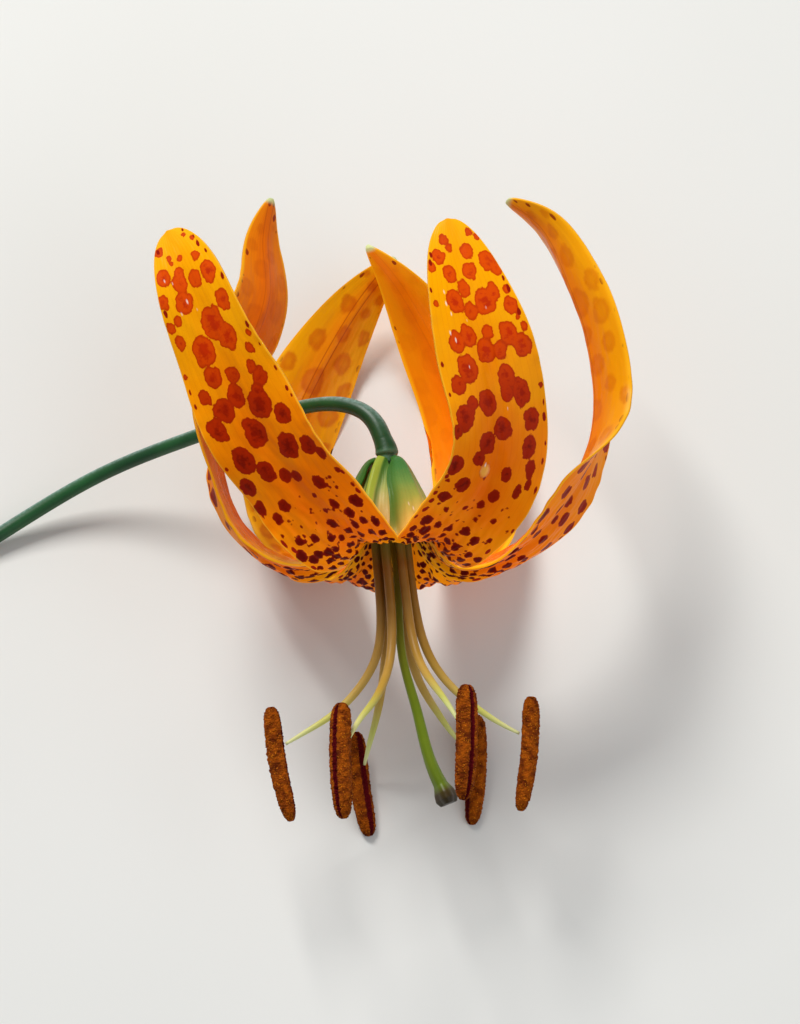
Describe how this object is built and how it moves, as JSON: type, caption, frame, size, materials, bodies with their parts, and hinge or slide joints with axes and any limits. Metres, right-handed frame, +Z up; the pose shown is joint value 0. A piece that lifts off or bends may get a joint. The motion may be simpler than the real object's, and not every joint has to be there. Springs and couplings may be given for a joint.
{
  "type": "humboldt lily",
  "caption": "Nodding lily flower with recurved spotted orange tepals, long stamens and pistil on a curved cut pedicel, laid down.",
  "frame": {"origin": "on the surface that the flower lies on, under the middle of its box", "axes": "+Z up from the surface, +Y from the anthers towards the tepals' tips, +X from the pedicel's cut end across the flower"},
  "size_m": [0.1079, 0.1039, 0.061],
  "materials": {
    "tepal": "fleshy petal, satin, yellow-orange with maroon and orange-red spots",
    "pedicel": "smooth green stem with a pale bloom",
    "pistil": "smooth olive green, dark stigma",
    "filament": "smooth, ochre to pale green",
    "anther": "rust brown pollen over maroon, powdery"
  },
  "bodies": {
    "root": {"pedicel": "pedicel", "pistil": "pistil", "tepal_inner_front_left": "tepal", "tepal_outer_front_right": "tepal", "tepal_inner_right": "tepal", "tepal_outer_left": "tepal", "tepal_inner_back_left": "tepal", "tepal_outer_back_right": "tepal", "filament_left": "filament", "filament_front_left": "filament", "filament_front_right": "filament", "filament_right": "filament", "filament_back_right": "filament", "filament_back_left": "filament", "anther_left": "anther", "anther_front_left": "anther", "anther_front_right": "anther", "anther_right": "anther", "anther_back_right": "anther", "anther_back_left": "anther"}
  },
  "joints": []
}
